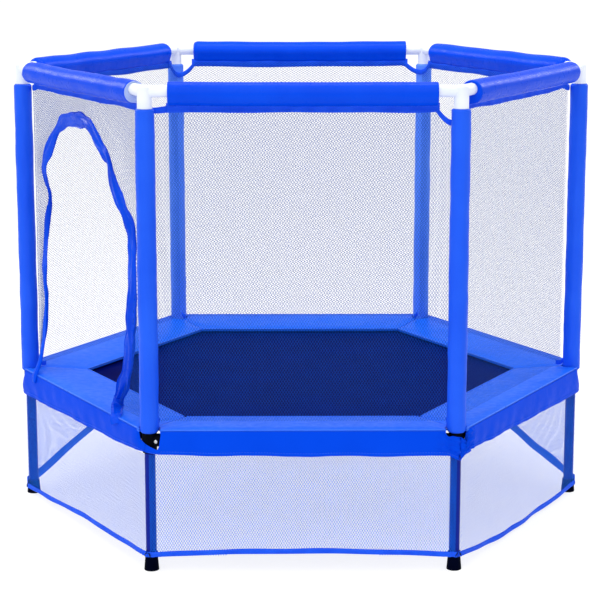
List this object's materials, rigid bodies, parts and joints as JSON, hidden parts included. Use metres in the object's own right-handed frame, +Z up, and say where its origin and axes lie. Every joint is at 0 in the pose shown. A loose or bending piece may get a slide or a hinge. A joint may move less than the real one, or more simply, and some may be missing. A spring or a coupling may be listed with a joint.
{
  "type": "trampoline",
  "caption": "Hexagonal child's trampoline with a sprung mat, safety pad, padded enclosure poles, netting with an arched doorway, and a net skirt.",
  "frame": {"origin": "on the floor below the middle of the mat", "axes": "+Z up, -Y the front side, X through the two opposite side legs"},
  "size_m": [1.5066, 1.305, 1.1585],
  "materials": {
    "blue_steel": "satin",
    "white_steel": "satin",
    "white_plastic": "satin",
    "black_plastic": "satin",
    "black_rubber": "matte",
    "blue_vinyl": "satin",
    "pad_vinyl": "satin",
    "enclosure_mesh": "matte",
    "skirt_mesh": "matte",
    "blue_webbing": "satin",
    "black_webbing": "matte",
    "black_elastic": "matte",
    "mat_fabric": "matte",
    "zinc_springs": "satin",
    "bright_screws": "polished"
  },
  "bodies": {
    "root": {"corner_joint_back_left": "black_plastic", "corner_joint_back_right": "black_plastic", "corner_joint_front_left": "black_plastic", "corner_joint_front_right": "black_plastic", "corner_joint_left": "black_plastic", "corner_joint_right": "black_plastic", "door_ribbon": "blue_webbing", "foot_caps": "black_rubber", "frame_rail_back": "blue_steel", "frame_rail_back_left": "blue_steel", "frame_rail_back_right": "blue_steel", "frame_rail_front": "blue_steel", "frame_rail_front_left": "blue_steel", "frame_rail_front_right": "blue_steel", "joint_screws": "bright_screws", "leg_back_left": "blue_steel", "leg_back_right": "blue_steel", "leg_front_left": "blue_steel", "leg_front_right": "blue_steel", "leg_left": "blue_steel", "leg_right": "blue_steel", "net_back": "enclosure_mesh", "net_back_left": "enclosure_mesh", "net_back_right": "enclosure_mesh", "net_front": "enclosure_mesh", "net_front_left": "enclosure_mesh", "net_front_right": "enclosure_mesh", "net_straps": "blue_webbing", "pad_back": "pad_vinyl", "pad_back_left": "pad_vinyl", "pad_back_right": "pad_vinyl", "pad_front": "pad_vinyl", "pad_front_left": "pad_vinyl", "pad_front_right": "pad_vinyl", "pole_sleeve_back_left": "blue_vinyl", "pole_sleeve_back_right": "blue_vinyl", "pole_sleeve_front_left": "blue_vinyl", "pole_sleeve_front_right": "blue_vinyl", "pole_sleeve_left": "blue_vinyl", "pole_sleeve_right": "blue_vinyl", "poles": "white_steel", "rail_cover_back": "blue_vinyl", "rail_cover_back_left": "blue_vinyl", "rail_cover_back_right": "blue_vinyl", "rail_cover_front": "blue_vinyl", "rail_cover_front_left": "blue_vinyl", "rail_cover_front_right": "blue_vinyl", "skirt_net": "skirt_mesh", "skirt_ties": "black_elastic", "springs": "zinc_springs", "top_fitting_back_left": "white_plastic", "top_fitting_back_right": "white_plastic", "top_fitting_front_left": "white_plastic", "top_fitting_front_right": "white_plastic", "top_fitting_left": "white_plastic", "top_fitting_right": "white_plastic", "top_rails": "white_steel"},
    "mat": {"jump_mat": "mat_fabric", "mat_border": "black_webbing", "spring_rings": "zinc_springs"}
  },
  "joints": [
    {"name": "mat_bounce", "type": "slide", "parent": "root", "child": "mat", "axis": [0, 0, 1], "range_m": [-0.15, 0], "stiffness_N_per_m": 4900, "deforming": ["springs"]}
  ]
}
